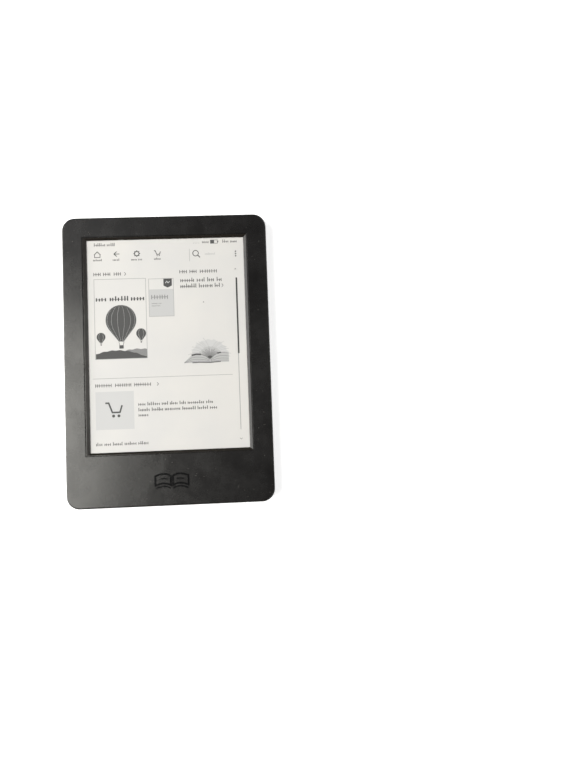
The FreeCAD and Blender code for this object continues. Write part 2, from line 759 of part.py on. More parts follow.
def battery():
    """The pouch cell, its guard board, leads and plug, and the tape and foam that hold it."""
    low, high = battery_ends()
    half = S.battery_width / 2
    cell_top = S.frame_low - 0.2
    cell_low = cell_top - S.battery_thick
    cell = box("cell", -half, half, low, high, cell_low, cell_top)
    soft = doc.addObject("Part::Fillet", "cell_round")
    soft.Base = cell
    doc.recompute()
    upright_edges = [
        (i, 1.2, 1.2) for i, e in enumerate(cell.Shape.Edges, 1) if e.BoundBox.ZLength > 1.0
    ]
    soft.Edges = upright_edges
    keep(soft, "battery_cell")
    guard = box("guard", -20.0, 20.0, low - 3.2, low - 0.1, WIRE_LEVEL - 0.4, WIRE_LEVEL + 0.4)
    keep(guard, "battery_guard_board")
    keep(box("pad", -22.0, 22.0, low + 6.0, high - 6.0, cell_top, S.frame_low), "battery_tape")
    keep(box("foam", -18.0, 18.0, low + 12.0, high - 12.0, S.wall, cell_low), "battery_foam")
    leads = doc.addObject("Part::Feature", "leads")
    leads.Shape = Part.makeCompound([battery_wire(i) for i in range(WIRE_COUNT)])
    keep(leads, "battery_leads")
    inner = PLUG_TOP - PLUG_LONG
    half, level = 3.0, WIRE_LEVEL
    plug = box("plug", PLUG_X - half, PLUG_X + half, inner, PLUG_TOP, level - 0.5, level + 0.5)
    keep(plug, "battery_plug")
    block = box(
        "header_block", PLUG_X - 3.7, PLUG_X + 3.7, inner - 1.0, PLUG_TOP - 1.1, level - 0.8, S.board_low,
    )
    room = box(
        "header_room", PLUG_X - half - 0.04, PLUG_X + half + 0.04, inner - 0.05, PLUG_TOP, level - 0.53,
        level + 0.53,
    )
    keep(cut("header", block, room), "battery_header")


# ---- main board ----


def slot_hole(sketch, span):
    left, right = span
    rectangle(sketch, left - SLOT_PLAY, right + SLOT_PLAY, FLEX_Y - SLOT_PLAY, FLEX_Y + SLOT_PLAY, 0.3)


def main_board():
    """The circuit board with its edge notches, flex slots and screw holes."""
    body = new_body("main_board")
    outline = flat(body, S.board_low)
    half = S.board_width / 2
    rectangle(outline, -half, half, S.board_bottom, S.board_top, 1.0)
    pad(body, outline, S.board_thick)
    cuts = flat(body, BOARD_TOP)
    edge = S.board_bottom - 1.0
    rectangle(cuts, S.port_x - 4.0, S.port_x + 4.0, edge, USB_BACK + 0.3)
    rectangle(cuts, S.lamp_x - 1.0, S.lamp_x + 1.0, edge, LAMP_BACK + 0.1)
    rectangle(cuts, S.button_x - 2.6, S.button_x + 2.6, edge, SWITCH_BACK + 0.2)
    slot_hole(cuts, DISPLAY_FLEX_X)
    slot_hole(cuts, TOUCH_FLEX_X)
    for x, y in THROUGH_SCREWS + BOARD_SCREWS:
        circle(cuts, x, y, S.screw_shank + 0.15)
    pocket(body, cuts, S.board_thick)
    return keep(body, "main_board")


def shield(name, x, y, width, length, tall):
    """A thin metal can soldered over chips: open towards the board."""
    skin = 0.15
    outer = chip(name + "_outer", x, y, width, length, tall)
    half_w, half_l = width / 2 - skin, length / 2 - skin
    low = S.board_low - tall + skin
    inner = box(name + "_inner", x - half_w, x + half_w, y - half_l, y + half_l, low, S.board_low + 0.1)
    return keep(cut(name, outer, inner), name)


def chips():
    """What is soldered to the main board."""
    keep(chip("cpu", -8.5, -52.0, 12.0, 12.0, 0.9), "processor")
    memory = [chip("ram", 5.5, -52.0, 10.0, 11.5, 0.8), chip("flash", 18.5, -52.0, 11.5, 13.0, 0.8)]
    keep(group("memory", memory), "memory_chips")
    shield("processor_shield", 4.5, -52.0, 42.0, 16.0, 1.5)
    keep(chip("pmic", 33.2, -46.0, 7.0, 7.0, 0.85), "power_chip")
    coils = [chip("coil", 29.6 + 3.6 * i, -52.2, 3.0, 3.0, 1.2) for i in range(3)]
    keep(group("coils", coils), "power_inductors")
    shield("power_shield", 33.2, -48.0, 13.5, 12.6, 1.5)
    keep(chip("radio", 38.5, -76.2, 8.0, 7.0, 1.2), "wireless_module")
    keep(chip("aerial", 44.6, -76.2, 1.6, 7.0, 1.2), "wireless_antenna")
    keep(chip("touch_ic", 22.0, -65.0, 5.0, 5.0, 0.8), "touch_controller")
    keep(chip("crystal", -14.0, -65.0, 3.2, 2.5, 0.7), "clock_crystal")
    places = [(-8.0 + 2.4 * i, -63.0 - 2.4 * j) for i in range(10) for j in range(2)]
    small = [chip("part", x, y, 1.2, 0.7, 0.5) for x, y in places]
    keep(group("passives", small), "small_capacitors")


# ---- flexible circuits and their sockets ----

SOCKET_DEEP = 3.8
SOCKET_TALL = 1.1
SOCKET_MOUTH = -62.0
FLEX_LEVEL = 4.3
PIVOT_GAP = 0.55
PIVOT_LEVEL = 4.3
LATCH_REACH = 1.65
PIN_RADIUS = 0.2
EAR = 0.7


def ribbon(name, span, points):
    """A flexible circuit: a bent strip through (y, z) points, as wide as span along X."""
    half = S.flex_thick.value / 2
    path = [V(0, y, z) for y, z in points]
    radius = 0.28
    rims = []
    for side in (-1, 1):
        shifted, radii = [], []
        for i, p in enumerate(path):
            before = (p - path[i - 1]).normalize() if i else None
            after = (path[i + 1] - p).normalize() if i + 1 < len(path) else None
            one, two = before or after, after or before
            normal = V(0, -one.z, one.y) + V(0, -two.z, two.y)
            scale = 2.0 / normal.Length**2
            shifted.append(p + normal * (side * half * scale))
            if before and after:
                turn = one.y * two.z - one.z * two.y
                radii.append(radius - math.copysign(side * half, turn) * 1.0)
        rims.append(rounded_wire(shifted, radii))
    ends = []
    for which in (0, -1):
        tips = [r.OrderedVertexes[which].Point for r in rims]
        ends.append(Part.LineSegment(*tips).toShape())
    outline = Part.Wire(Part.__sortEdges__(rims[0].Edges + rims[1].Edges + ends))
    strip = doc.addObject("Part::Feature", name + "_strip")
    width = span[1] - span[0]
    solid = Part.Face(outline).extrude(V(width, 0, 0))
    strip.Shape = solid
    strip.Placement = FreeCAD.Placement(V(span[0], 0, 0), FreeCAD.Rotation())
    return keep(strip, name)


def flexes():
    half = S.flex_thick.value / 2
    down = FLEX_Y.value
    bond = FILM_LOW.value + half
    under = FRAME_TOP.value + 0.1 + half
    edge = PANEL_BOTTOM.value
    inside = SOCKET_MOUTH + 2.6
    panel_path = [
        (edge + 2.0, bond), (edge - 0.42, bond), (edge - 0.42, under), (down, under), (down, FLEX_LEVEL),
        (inside, FLEX_LEVEL),
    ]
    ribbon("panel_flex", DISPLAY_FLEX_X, panel_path)
    top = TOUCH_TOP.value + half
    touch_path = [(RING_LOW.value + 1.6, top), (down, top), (down, FLEX_LEVEL), (inside, FLEX_LEVEL)]
    ribbon("touch_flex", TOUCH_FLEX_X, touch_path)


def socket(name, span):
    """A flip-lock socket for a flexible circuit, with its latch on two small pins."""
    left, right = span[0] - 1.4, span[1] + 1.4
    back = SOCKET_MOUTH + SOCKET_DEEP
    low = S.board_low - SOCKET_TALL
    block = box(name + "_block", left, right, SOCKET_MOUTH, back, low, S.board_low)
    pivot = back + PIVOT_GAP
    ears = [
        box(name + "_ear", a, a + EAR, back - 0.1, pivot + 0.5, PIVOT_LEVEL - 0.45, S.board_low)
        for a in (left, right - EAR)
    ]
    gap = 0.05 + S.flex_thick / 2
    mouth = box(
        name + "_mouth", span[0] - 0.1, span[1] + 0.1, SOCKET_MOUTH - 0.1, SOCKET_MOUTH + 2.7,
        FLEX_LEVEL - gap, FLEX_LEVEL + gap,
    )
    bore = rod(name + "_bore", "x", left - 0.1, pivot, PIVOT_LEVEL, PIN_RADIUS + 0.03, right - left + 0.2)
    keep(cut(name, fuse(name + "_shape", [block] + ears), fuse(name + "_voids", [mouth, bore])), name)
    play = 0.08
    plate = box(
        name + "_plate", left + EAR + play, right - EAR - play, pivot - 0.25, pivot + LATCH_REACH,
        PIVOT_LEVEL - 0.45, PIVOT_LEVEL + 0.25,
    )
    pin = rod(name + "_pin", "x", left + 0.15, pivot, PIVOT_LEVEL, PIN_RADIUS, right - left - 0.3)
    keep(fuse(name + "_flap", [plate, pin]), name + "_latch")


# ---- ports on the bottom edge ----

USB_FRONT = -(HALF_LENGTH - 0.5)
USB_BACK = USB_FRONT + 5.6
LAMP_BACK = S.board_bottom + 0.9
SWITCH_FRONT = S.board_bottom + 0.4
SWITCH_BACK = SWITCH_FRONT + 2.6
PLUNGER_FRONT = S.board_bottom - 0.3
PLUNGER_LEVEL = 4.7


def usb_outline(sketch, grow):
    """The socket's mouth: square above, with its lower corners cut off, made larger by grow."""
    half, foot, up, down = 3.7 + grow, 2.75 + grow * 0.7, 1.18 + grow, 1.18 + grow
    level = S.port_height
    x = S.port_x
    polygon(sketch, [
        (x - half, level + up), (x - half, level - 0.3), (x - foot, level - down),
        (x + foot, level - down), (x + half, level - 0.3), (x + half, level + up),
    ])


def usb_socket():
    """The charging socket: a bent steel shell, a plastic core with a tongue, and its contacts."""
    skin = 0.25
    shell = new_body("usb_shell")
    ring = upright(shell, USB_BACK)
    usb_outline(ring, 0.0)
    usb_outline(ring, -skin)
    pad(shell, ring, USB_BACK - USB_FRONT)
    feet = flat(shell, S.board_low)
    for side in (-1, 1):
        left, right = sorted([side * 3.46, side * 5.1])
        for low in (0.2, 1.7):
            y = S.board_bottom + low
            rectangle(feet, S.port_x + left, S.port_x + right, y, y + 1.0)
    pad(shell, feet, skin, back=True)
    keep(shell, "usb_shell")
    core = new_body("usb_core")
    plug = upright(core, USB_BACK)
    usb_outline(plug, -skin - 0.02)
    pad(core, plug, 1.3)
    tongue = upright(core, USB_BACK)
    x, z = S.port_x, S.port_height
    rectangle(tongue, x - 1.9, x + 1.9, z + 0.05, z + 0.55)
    pad(core, tongue, 4.6)
    keep(core, "usb_core")
    front = USB_BACK - 4.3
    strips = []
    for i in range(5):
        left = x + (i - 2) * 0.65 - 0.17
        strips.append(box("contact", left, left + 0.34, front, USB_BACK - 1.3, z - 0.05, z + 0.05))
    keep(group("contacts", strips), "usb_contacts")


def power_button():
    """The cap in the bottom edge: a pill with a retaining flange and a rib that meets the switch."""
    body = new_body("power_button")
    back = -(INNER_BOTTOM - 0.15)
    cap = upright(body, back)
    pill(cap, S.button_x, S.button_width, S.button_tall)
    shell = pad(body, cap, HALF_LENGTH + back)
    front = -HALF_LENGTH.value
    rim = [
        f"Edge{i}" for i, e in enumerate(shell.Shape.Edges, 1)
        if abs(e.BoundBox.YMin - front) < TINY and abs(e.BoundBox.YMax - front) < TINY
    ]
    fillet(body, shell, rim, 0.35)
    flange_back = back + 0.6
    flange = upright(body, flange_back)
    z = S.port_height
    rectangle(flange, S.button_x - 6.2, S.button_x + 6.2, z - 0.42, z + 1.4)
    pad(body, flange, 0.6)
    rib = upright(body, PLUNGER_FRONT - 0.02)
    rectangle(rib, S.button_x - 1.5, S.button_x + 1.5, PLUNGER_LEVEL - 0.45, PLUNGER_LEVEL + 0.45)
    pad(body, rib, PLUNGER_FRONT - 0.02 - flange_back + 0.1)
    return keep(body, "power_button")


def switch():
    """A side-push switch sunk in the board's edge: housing, plunger and snap dome."""
    x, z = S.button_x, dim(PLUNGER_LEVEL)
    block = box("switch_block", x - 2.3, x + 2.3, SWITCH_FRONT, SWITCH_BACK, z - 0.9, z + 0.8)
    chamber = box("chamber", x - 1.6, x + 1.6, SWITCH_FRONT + 0.5, SWITCH_BACK - 0.4, z - 0.6, z + 0.6)
    mouth = box("mouth", x - 1.15, x + 1.15, SWITCH_FRONT - 0.1, SWITCH_FRONT + 0.6, z - 0.47, z + 0.47)
    keep(cut("switch_case", block, fuse("switch_room", [chamber, mouth])), "switch_housing")
    nose = box("nose", x - 1.1, x + 1.1, PLUNGER_FRONT, SWITCH_FRONT + 0.7, z - 0.42, z + 0.42)
    collar = box("collar", x - 1.5, x + 1.5, SWITCH_FRONT + 0.55, SWITCH_FRONT + 0.95, z - 0.5, z + 0.5)
    keep(fuse("plunger", [nose, collar]), "switch_plunger")
    dome = new_body("switch_dome")
    arch = sketch_on(dome, "XY_Plane", z - 0.5)
    front, back = SWITCH_FRONT + 1.0, SWITCH_BACK - 0.45
    polygon(arch, [
        (x - 1.5, back), (x - 0.5, front + 0.02), (x + 0.5, front + 0.02), (x + 1.5, back),
        (x + 1.35, back), (x + 0.45, front + 0.12), (x - 0.45, front + 0.12), (x - 1.35, back),
    ])
    pad(dome, arch, 1.0)
    keep(dome, "switch_dome")


def status_light():
    """A small side-firing lamp on the board's edge and the clear rod that carries its light out."""
    x, z = S.lamp_x, S.port_height
    lamp = box("lamp", x - 1.0, x + 1.0, S.board_bottom + 0.1, LAMP_BACK, z - 0.3, z + 0.3)
    keep(lamp, "status_lamp")
    start = -HALF_LENGTH
    keep(rod("pipe", "y", x, start, z, 0.6, S.board_bottom - start), "status_light_pipe")


# ---- build, check and write ----


def check_and_write():
    """Stops if any object failed, then writes each piece to its own file."""
    doc.recompute()
    for thing in doc.Objects:
        if "Invalid" in thing.State or "Error" in thing.State:
            raise ValueError(f"{thing.Label} failed: {thing.State}")
    os.makedirs("parts", exist_ok=True)
    for label, thing in nodes.items():
        shape = thing.Shape
        if shape.isNull() or not shape.isValid() or not shape.Solids:
            raise ValueError(f"{label} has no valid solid")
        shape.exportStep(f"parts/{label}.step")
        print(label, "solids", len(shape.Solids), "volume", round(shape.Volume, 2))


rear_cover()
front_bezel()
light_guide()
panel()
touch_parts()
mid_frame()
screws()
battery()
main_board()
chips()
flexes()
socket("panel_socket", DISPLAY_FLEX_X)
socket("touch_socket", TOUCH_FLEX_X)
usb_socket()
power_button()
switch()
status_light()
check_and_write()
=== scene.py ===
import math
import random

import bmesh
import bpy
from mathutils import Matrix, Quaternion, Vector


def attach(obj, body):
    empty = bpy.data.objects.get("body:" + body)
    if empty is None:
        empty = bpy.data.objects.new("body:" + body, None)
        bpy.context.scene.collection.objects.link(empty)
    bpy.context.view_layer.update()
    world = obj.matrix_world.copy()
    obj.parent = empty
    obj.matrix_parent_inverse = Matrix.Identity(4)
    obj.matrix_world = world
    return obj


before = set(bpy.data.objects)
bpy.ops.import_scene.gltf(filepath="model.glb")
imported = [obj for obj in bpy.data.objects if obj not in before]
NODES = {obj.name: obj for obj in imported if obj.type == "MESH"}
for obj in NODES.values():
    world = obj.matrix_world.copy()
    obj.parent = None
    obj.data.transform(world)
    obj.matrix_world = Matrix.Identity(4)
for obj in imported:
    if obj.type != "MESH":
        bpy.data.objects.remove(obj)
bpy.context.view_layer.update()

MM = 0.001
WHITE = (1.0, 1.0, 1.0)

# The visible page: its left and top edges and its height, in millimetres in the row frame.
PAGE_LEFT = -45.9
PAGE_TOP = 71.25
PAGE_Z = 8.2
FRONT_Z = 10.2

# The displayed marks start just clear of the page, and each level stands one step higher.
INK_Z = PAGE_Z + 0.002
INK_STEP = 0.006

# Corners nearer than this, in metres, are one corner.
WELD = 1e-7


# ---- materials ----


def linear(level):
    """A display level from 0 to 255 as linear light."""
    share = level / 255
    return share / 12.92 if share <= 0.04045 else ((share + 0.055) / 1.055) ** 2.4


def tint(red, green, blue):
    """A colour given in display levels."""
    return (linear(red), linear(green), linear(blue), 1.0)


class Look:
    """A procedural material in the making: its shader, and the patterns that drive it."""

    def __init__(self, name, roughness=0.5, metallic=0.0, **fixed):
        self.material = bpy.data.materials.new(name)
        self.material.use_nodes = True
        self.tree = self.material.node_tree
        self.shader = self.tree.nodes["Principled BSDF"]
        self.shader.inputs["Roughness"].default_value = roughness
        self.shader.inputs["Metallic"].default_value = metallic
        for socket, value in fixed.items():
            self.shader.inputs[socket.replace("_", " ")].default_value = value
        self.place = self.node("ShaderNodeTexCoord").outputs["Object"]

    def node(self, kind, inputs=None, **settings):
        """A new node, its inputs set to values or linked to sockets."""
        made = self.tree.nodes.new(kind)
        for key, value in settings.items():
            setattr(made, key, value)
        for key, value in (inputs or {}).items():
            if isinstance(value, bpy.types.NodeSocket):
                self.tree.links.new(value, made.inputs[key])
            else:
                made.inputs[key].default_value = value
        return made

    def stretched(self, scale):
        """The place on the surface, stretched differently along each axis."""
        return self.node("ShaderNodeMapping", {"Vector": self.place, "Scale": scale}).outputs[0]

    def noise(self, size, detail=3.0, rough=0.5, stretch=None):
        """Cloudy noise from 0 to 1 with features about that many millimetres across."""
        where = self.stretched(stretch) if stretch else self.place
        inputs = {"Vector": where, "Scale": 1 / (size * MM), "Detail": detail, "Roughness": rough}
        return self.node("ShaderNodeTexNoise", inputs).outputs["Fac"]

    def specks(self, spacing, radius, where=None):
        """Small round dots, 1 inside and 0 outside, about spacing millimetres apart."""
        inputs = {"Vector": where or self.place, "Scale": 1 / (spacing * MM)}
        cell = self.node("ShaderNodeTexVoronoi", inputs, feature="F1")
        return self.remap(cell.outputs["Distance"], radius / spacing, 0.5 * radius / spacing, 0.0, 1.0)

    def remap(self, value, low, high, to_low, to_high):
        inputs = {"Value": value, "From Min": low, "From Max": high, "To Min": to_low, "To Max": to_high}
        return self.node("ShaderNodeMapRange", inputs).outputs[0]

    def times(self, a, b):
        return self.node("ShaderNodeMath", {0: a, 1: b}, operation="MULTIPLY").outputs[0]

    def plus(self, a, b):
        return self.node("ShaderNodeMath", {0: a, 1: b}, operation="ADD").outputs[0]

    def along(self, axis):
        """One coordinate of the place on the surface, in metres."""
        return self.node("ShaderNodeSeparateXYZ", {"Vector": self.place}).outputs[axis]

    def blend(self, share, a, b):
        inputs = {"Factor": share, "A": a, "B": b}
        return self.node("ShaderNodeMix", inputs, data_type="RGBA").outputs["Result"]

    def colour(self, value):
        self.tree.links.new(value, self.shader.inputs["Base Color"])

    def roughness(self, value):
        self.tree.links.new(value, self.shader.inputs["Roughness"])

    def bump(self, height, depth, strength=1.0):
        """Raises the surface by up to depth millimetres where height is 1."""
        inputs = {"Height": height, "Distance": depth * MM, "Strength": strength}
        normal = self.node("ShaderNodeBump", inputs).outputs["Normal"]
        self.tree.links.new(normal, self.shader.inputs["Normal"])


def soft_plastic(name, dark, light, roughness, grain):
    """Moulded plastic with a fine texture, faint finger marks, and specks of dust."""
    look = Look(name, Specular_IOR_Level=0.5)
    cloudy = look.noise(18.0, 3.0, 0.5)
    clean = look.blend(look.remap(cloudy, 0.35, 0.65, 0.0, 1.0), dark, light)
    marks = look.noise(13.0, 3.0, 0.5, (1.0, 0.7, 1.0))
    fine = look.noise(grain, 2.0)
    smear = look.remap(marks, 0.42, 0.68, roughness + 0.01, roughness - 0.05)
    blotches = look.remap(look.noise(4.5, 4.0, 0.6), 0.35, 0.65, -0.012, 0.012)
    few = look.remap(look.noise(12.0, 2.0), 0.46, 0.54, 0.0, 1.0)
    dust = look.times(look.specks(2.6, 0.26), few)
    skin = look.plus(look.plus(smear, blotches), look.remap(fine, 0.3, 0.7, -0.02, 0.02))
    look.roughness(look.plus(skin, look.times(dust, 0.3)))
    scratches = look.times(look.specks(7.0, 0.1, look.stretched((0.1, 1.0, 1.0))), 0.4)
    worn = look.plus(look.times(dust, 0.25), scratches)
    look.colour(look.blend(worn, clean, tint(150, 146, 138)))
    look.bump(fine, 0.012, 0.35)
    return look.material


def guide_plastic():
    """Infrared-clear plastic that looks glossy black, with a brown cast and finger marks."""
    look = Look("guide_gloss", Specular_IOR_Level=0.5)
    look.colour(look.blend(look.noise(9.0, 2.0), tint(28, 25, 21), tint(36, 32, 27)))
    look.roughness(look.remap(look.noise(8.0, 3.0, 0.5), 0.35, 0.7, 0.2, 0.27))
    look.bump(look.noise(3.0, 2.0), 0.006, 0.12)
    return look.material


def page_film():
    """The reflective page: warm white, matt, with the fine salt-and-pepper grain of electronic ink."""
    look = Look("page_white", roughness=0.62, Specular_IOR_Level=0.35)
    grain = look.noise(0.22, 2.0, 0.6)
    mottle = look.noise(28.0, 3.0)
    cool, warm = tint(204, 203, 202), tint(210, 208, 205)
    base = look.blend(look.remap(mottle, 0.3, 0.7, 0.0, 1.0), cool, warm)
    pepper = look.remap(grain, 0.3, 0.75, 0.0, 0.09)
    look.colour(look.blend(pepper, base, tint(190, 189, 186)))
    look.bump(grain, 0.004, 0.25)
    return look.material


def ink(name, level, patchy=0.12):
    """Electronic ink of one grey, with the grain of its capsules."""
    look = Look(name, roughness=0.62, Specular_IOR_Level=0.3)
    grain = look.remap(look.noise(0.2, 2.0, 0.6), 0.3, 0.7, 0.0, 1.0)
    shade = linear(level)
    low, high = ((shade * (1 + sway),) * 3 + (1.0,) for sway in (-patchy, patchy))
    look.colour(look.blend(grain, low, high))
    return look.material


def metal(name, dark, light, roughness, brushed=None):
    """Sheet or cast metal with fine scratches, brushed along an axis if a stretch is given."""
    look = Look(name, metallic=0.95)
    fine = look.noise(0.5, 4.0, 0.6, brushed)
    look.colour(look.blend(look.noise(6.0, 3.0), dark, light))
    look.roughness(look.remap(fine, 0.3, 0.7, roughness - 0.07, roughness + 0.1))
    look.bump(fine, 0.01, 0.3)
    return look.material


def cast_frame():
    """A die-cast frame: satin grey with the pebbled skin of a casting."""
    look = Look("frame_cast", metallic=0.9)
    pebble = look.noise(0.6, 3.0, 0.7)
    look.colour(look.blend(look.noise(12.0, 4.0), tint(150, 152, 156), tint(178, 180, 184)))
    look.roughness(look.remap(pebble, 0.3, 0.7, 0.38, 0.55))
    look.bump(pebble, 0.03, 0.5)
    return look.material


def circuit_board(name, ground, track):
    """Solder mask over copper tracks: straight runs show as a slightly lighter, raised pattern."""
    look = Look(name, Specular_IOR_Level=0.5, Coat_Weight=0.25, Coat_Roughness=0.2)
    rows = look.node("ShaderNodeTexBrick", {
        "Vector": look.place, "Scale": 90.0, "Mortar Size": 0.025, "Brick Width": 0.6, "Row Height": 0.12,
    })
    runs = look.remap(rows.outputs["Fac"], 0.0, 1.0, 0.0, 0.8)
    vias = look.specks(2.3, 0.22)
    copper = look.blend(runs, ground, track)
    look.colour(look.blend(vias, copper, tint(190, 168, 110)))
    look.roughness(look.remap(look.noise(1.0, 4.0), 0.3, 0.7, 0.3, 0.46))
    look.bump(runs, 0.02, 0.5)
    return look.material


def ribbon_film():
    """Amber film over parallel copper tracks."""
    look = Look("ribbon_amber", Specular_IOR_Level=0.5, Coat_Weight=0.4, Coat_Roughness=0.15)
    stripes = look.node("ShaderNodeTexWave", {"Vector": look.place, "Scale": 160.0}, bands_direction="X")
    tracks = look.remap(stripes.outputs["Fac"], 0.4, 0.6, 0.0, 1.0)
    look.colour(look.blend(tracks, tint(150, 84, 22), tint(196, 122, 44)))
    look.roughness(look.remap(look.noise(2.0, 3.0), 0.3, 0.7, 0.25, 0.4))
    look.bump(tracks, 0.01, 0.4)
    return look.material


def pouch_foil():
    """The aluminised film of a pouch cell, with soft wrinkles and painted shade in their troughs."""
    look = Look("pouch_silver", metallic=0.85)
    wrinkles_and_painted_shade = look.noise(5.0, 5.0, 0.6, (1.0, 0.5, 1.0))
    # Painted shade: the colour follows the wrinkles' height, darker in the troughs and lighter on the crests.
    look.colour(look.blend(wrinkles_and_painted_shade, tint(168, 170, 172), tint(196, 198, 200)))
    look.roughness(look.remap(look.noise(0.8, 3.0), 0.3, 0.7, 0.3, 0.42))
    look.bump(wrinkles_and_painted_shade, 0.12, 0.5)
    return look.material


def moulded(name, dark, light, roughness, grain=0.4, **fixed):
    """Plain moulded or ceramic stuff: two close shades, a fine grain, and an uneven gloss."""
    look = Look(name, **fixed)
    fine = look.noise(grain, 3.0, 0.6)
    look.colour(look.blend(look.noise(2.5, 3.0), dark, light))
    look.roughness(look.remap(fine, 0.3, 0.7, roughness - 0.07, roughness + 0.07))
    look.bump(fine, 0.01, 0.3)
    return look.material


def clear(name, colour, roughness):
    """Clear plastic or glass with a faint haze."""
    look = Look(name, Transmission_Weight=0.75, IOR=1.5)
    haze = look.noise(1.2, 3.0)
    look.colour(look.blend(haze, colour, tint(240, 242, 240)))
    look.roughness(look.remap(haze, 0.3, 0.7, roughness, roughness + 0.12))
    return look.material


def foam():
    """Black open-cell foam, with painted shade in the pits of its cells."""
    look = Look("foam_black", Specular_IOR_Level=0.2)
    cell_pits_and_painted_shade = look.node("ShaderNodeTexVoronoi", {"Vector": look.place, "Scale": 2500.0}).outputs["Distance"]
    # Painted shade: the colour is darkest in the middle of each cell, where the bump sinks a pit, and lighter
    # on the cell walls.
    look.colour(look.blend(cell_pits_and_painted_shade, tint(18, 18, 18), tint(52, 52, 52)))
    look.roughness(look.remap(cell_pits_and_painted_shade, 0.0, 0.8, 0.95, 0.8))
    look.bump(cell_pits_and_painted_shade, 0.06, 0.8)
    return look.material


def floor_look():
    """A plain pale table top, faintly lit from within as a light table is."""
    glow = {"Emission_Color": (*WHITE, 1.0), "Emission_Strength": 0.58}
    look = Look("floor_pale", Specular_IOR_Level=0.2, **glow)
    look.colour(look.blend(look.noise(60.0, 3.0), tint(243, 243, 243), tint(246, 246, 246)))
    look.roughness(look.remap(look.noise(4.0, 3.0), 0.3, 0.7, 0.65, 0.75))
    return look.material


def dress_nodes():
    """Gives every piece of the CAD model its material."""
    case = soft_plastic("bezel_black", tint(18, 17, 17), tint(28, 27, 27), 0.275, 0.16)
    rear = soft_plastic("rear_black", tint(25, 25, 26), tint(33, 32, 33), 0.5, 0.22)
    button = soft_plastic("button_black", tint(22, 22, 23), tint(30, 30, 31), 0.36, 0.12)
    tape = moulded("tape_yellowish", tint(206, 200, 176), tint(222, 217, 198), 0.4)
    board = circuit_board("board_mask", tint(12, 62, 40), tint(22, 86, 56))
    ring_board = circuit_board("touch_mask", tint(14, 50, 38), tint(26, 74, 56))
    chip = moulded("chip_epoxy", tint(28, 28, 30), tint(42, 42, 44), 0.55)
    can = metal("can_tinned", tint(170, 172, 172), tint(192, 193, 192), 0.34, (1.0, 6.0, 1.0))
    screw = metal("screw_black_zinc", tint(92, 92, 96), tint(120, 120, 124), 0.3)
    foam_black, ribbon = foam(), ribbon_film()
    socket = moulded("socket_cream", tint(206, 198, 176), tint(220, 213, 194), 0.5)
    latch = moulded("latch_brown", tint(52, 38, 32), tint(68, 50, 42), 0.45)
    core = moulded("core_black", tint(20, 20, 21), tint(32, 32, 33), 0.42)
    white = moulded("plug_white", tint(222, 220, 212), tint(234, 232, 226), 0.5)
    looks = {
        "front_bezel": case,
        "rear_cover": rear,
        "power_button": button,
        "light_guide": guide_plastic(),
        "panel_ink_film": page_film(),
        "panel_backplane": clear("backplane_glass", tint(196, 210, 202), 0.05),
        "panel_driver_chip": chip,
        "panel_gasket": foam_black,
        "panel_tape": tape,
        "panel_flex": ribbon,
        "panel_socket": socket,
        "panel_socket_latch": latch,
        "touch_board": ring_board,
        "touch_emitters": clear("emitter_clear", tint(206, 214, 226), 0.08),
        "touch_receivers": moulded("receiver_dark", tint(30, 20, 30), tint(44, 30, 42), 0.2),
        "touch_flex": ribbon,
        "touch_socket": socket,
        "touch_socket_latch": latch,
        "mid_frame": cast_frame(),
        "frame_screws": screw,
        "board_screws": screw,
        "battery_cell": pouch_foil(),
        "battery_guard_board": board,
        "battery_tape": tape,
        "battery_foam": foam_black,
        "battery_leads": moulded("lead_red", tint(150, 26, 22), tint(172, 36, 30), 0.4),
        "battery_plug": white,
        "battery_header": white,
        "main_board": board,
        "processor": chip,
        "memory_chips": chip,
        "processor_shield": can,
        "power_chip": chip,
        "power_inductors": moulded("ferrite_grey", tint(66, 66, 68), tint(88, 88, 90), 0.6, 0.2),
        "power_shield": can,
        "wireless_module": can,
        "wireless_antenna": moulded("antenna_ceramic", tint(206, 212, 216), tint(222, 226, 228), 0.3),
        "touch_controller": chip,
        "clock_crystal": metal("crystal_can", tint(186, 184, 176), tint(204, 202, 194), 0.25),
        "small_capacitors": moulded("capacitor_tan", tint(150, 118, 84), tint(172, 140, 104), 0.5, 0.15),
        "usb_shell": metal("shell_steel", tint(176, 176, 174), tint(200, 200, 198), 0.28, (1.0, 1.0, 5.0)),
        "usb_core": core,
        "usb_contacts": metal("contact_gold", tint(196, 160, 88), tint(216, 182, 112), 0.22),
        "switch_housing": core,
        "switch_plunger": core,
        "switch_dome": metal("dome_steel", tint(176, 176, 176), tint(204, 204, 204), 0.2),
        "status_lamp": moulded("lamp_phosphor", tint(226, 220, 150), tint(238, 232, 176), 0.35),
        "status_light_pipe": clear("light_pipe", tint(222, 232, 224), 0.12),
    }
    for name, node in NODES.items():
        node.data.materials.clear()
        node.data.materials.append(looks[name])


# ---- printed and displayed marks ----


def flat_mark(name, shapes, place, low, high, material):
    """Closed flat prisms over convex outlines, from height low to height high, as one piece.

    Outlines that share a side are welded there, so that no wall is left inside a prism.
    """
    mesh = bmesh.new()
    for outline in shapes:
        corners = [mesh.verts.new((*place(u, v), low * MM)) for u, v in outline]
        mesh.faces.new(corners)
    bmesh.ops.remove_doubles(mesh, verts=mesh.verts, dist=WELD)
    base = list(mesh.faces)
    raised = bmesh.ops.extrude_face_region(mesh, geom=base, use_keep_orig=True)
    tops = [g for g in raised["geom"] if isinstance(g, bmesh.types.BMVert)]
    bmesh.ops.translate(mesh, verts=tops, vec=(0.0, 0.0, (high - low) * MM))
    bmesh.ops.recalc_face_normals(mesh, faces=mesh.faces)
    data = bpy.data.meshes.new(name)
    mesh.to_mesh(data)
    mesh.free()
    data.materials.append(material)
    piece = bpy.data.objects.new(name, data)
    bpy.context.scene.collection.objects.link(piece)
    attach(piece, "reader")


